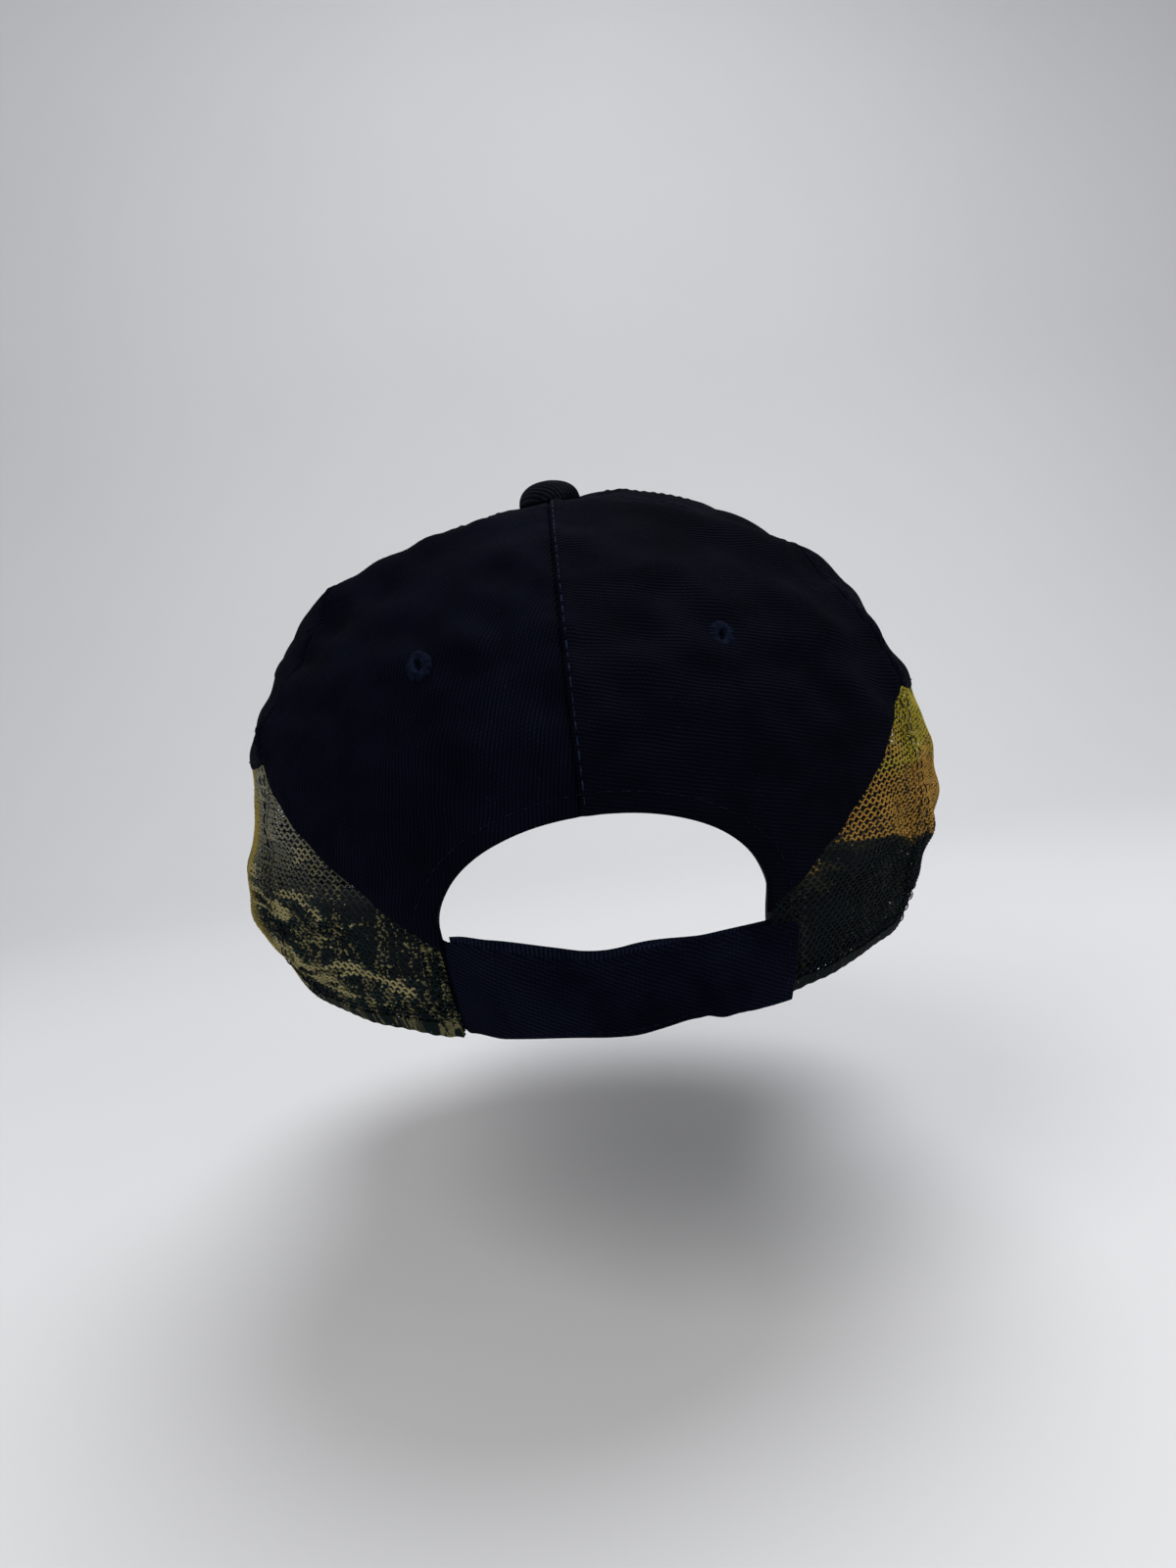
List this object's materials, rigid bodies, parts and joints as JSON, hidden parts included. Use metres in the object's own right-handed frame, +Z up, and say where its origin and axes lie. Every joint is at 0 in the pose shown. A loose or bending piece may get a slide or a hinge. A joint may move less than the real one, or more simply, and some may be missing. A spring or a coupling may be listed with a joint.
{
  "type": "trucker mesh cap",
  "caption": "Panelled cap with twill crown, camouflage mesh lower sides, arched back opening, hook-and-loop strap and curved visor.",
  "frame": {"origin": "centre of the head opening, on the surface that the cap stands on, under the top button", "axes": "+Z up through the button, +Y forward to the visor, the strap at -Y"},
  "size_m": [0.1932, 0.2653, 0.1295],
  "materials": {
    "navy_twill": "matte cotton twill, softly brushed",
    "camo_mesh": "open warp-knit mesh, printed with broken natural colours",
    "seam_tape": "plain woven cotton tape",
    "sweatband_cloth": "soft cotton twill over a thin pad",
    "buckram": "stiff open-weave buckram",
    "navy_thread": "satin embroidery thread",
    "button_metal": "plain pressed steel",
    "visor_board": "moulded polyethylene board",
    "hook_tape": "nylon hooks on woven tape",
    "loop_tape": "brushed nylon loops"
  },
  "bodies": {
    "crown": {"front_panel_left": "navy_twill", "front_panel_right": "navy_twill", "side_panel_left": "navy_twill", "side_panel_right": "navy_twill", "back_panel_left": "navy_twill", "back_panel_right": "navy_twill", "side_mesh_left": "camo_mesh", "side_mesh_right": "camo_mesh", "back_mesh_left": "camo_mesh", "back_mesh_right": "camo_mesh", "front_buckram_left": "buckram", "front_buckram_right": "buckram", "eyelet_front_left": "navy_thread", "eyelet_front_right": "navy_thread", "eyelet_side_left": "navy_thread", "eyelet_side_right": "navy_thread", "eyelet_back_left": "navy_thread", "eyelet_back_right": "navy_thread", "seam_tape_side_left": "seam_tape", "seam_tape_side_right": "seam_tape", "seam_tape_front_left": "seam_tape", "seam_tape_front_right": "seam_tape", "seam_tape_back": "seam_tape", "seam_tape_centre": "seam_tape", "arch_facing": "seam_tape", "sweatband": "sweatband_cloth", "button_cover": "navy_twill", "button_shell": "button_metal", "button_rivet": "button_metal", "button_back_washer": "button_metal", "visor_top_cover": "navy_twill", "visor_board": "visor_board", "visor_edge": "navy_twill", "visor_under_cover": "navy_twill", "outer_strap_tab": "navy_twill", "inner_strap_tab": "navy_twill"},
    "outer_strap_arm": {"outer_strap": "navy_twill", "hook_patch": "hook_tape"},
    "inner_strap_arm": {"inner_strap": "navy_twill", "loop_patch": "loop_tape"}
  },
  "joints": [
    {"name": "outer_strap_turn", "type": "hinge", "parent": "crown", "child": "outer_strap_arm", "pos_m": [-0.03288, -0.08354, 0.01195], "axis": [0.0922, 0.2321, -0.9683], "range_deg": [0, 110]},
    {"name": "inner_strap_turn", "type": "hinge", "parent": "crown", "child": "inner_strap_arm", "pos_m": [0.03238, -0.08261, 0.01348], "axis": [-0.0921, 0.2257, -0.9698], "range_deg": [0, 65]}
  ]
}
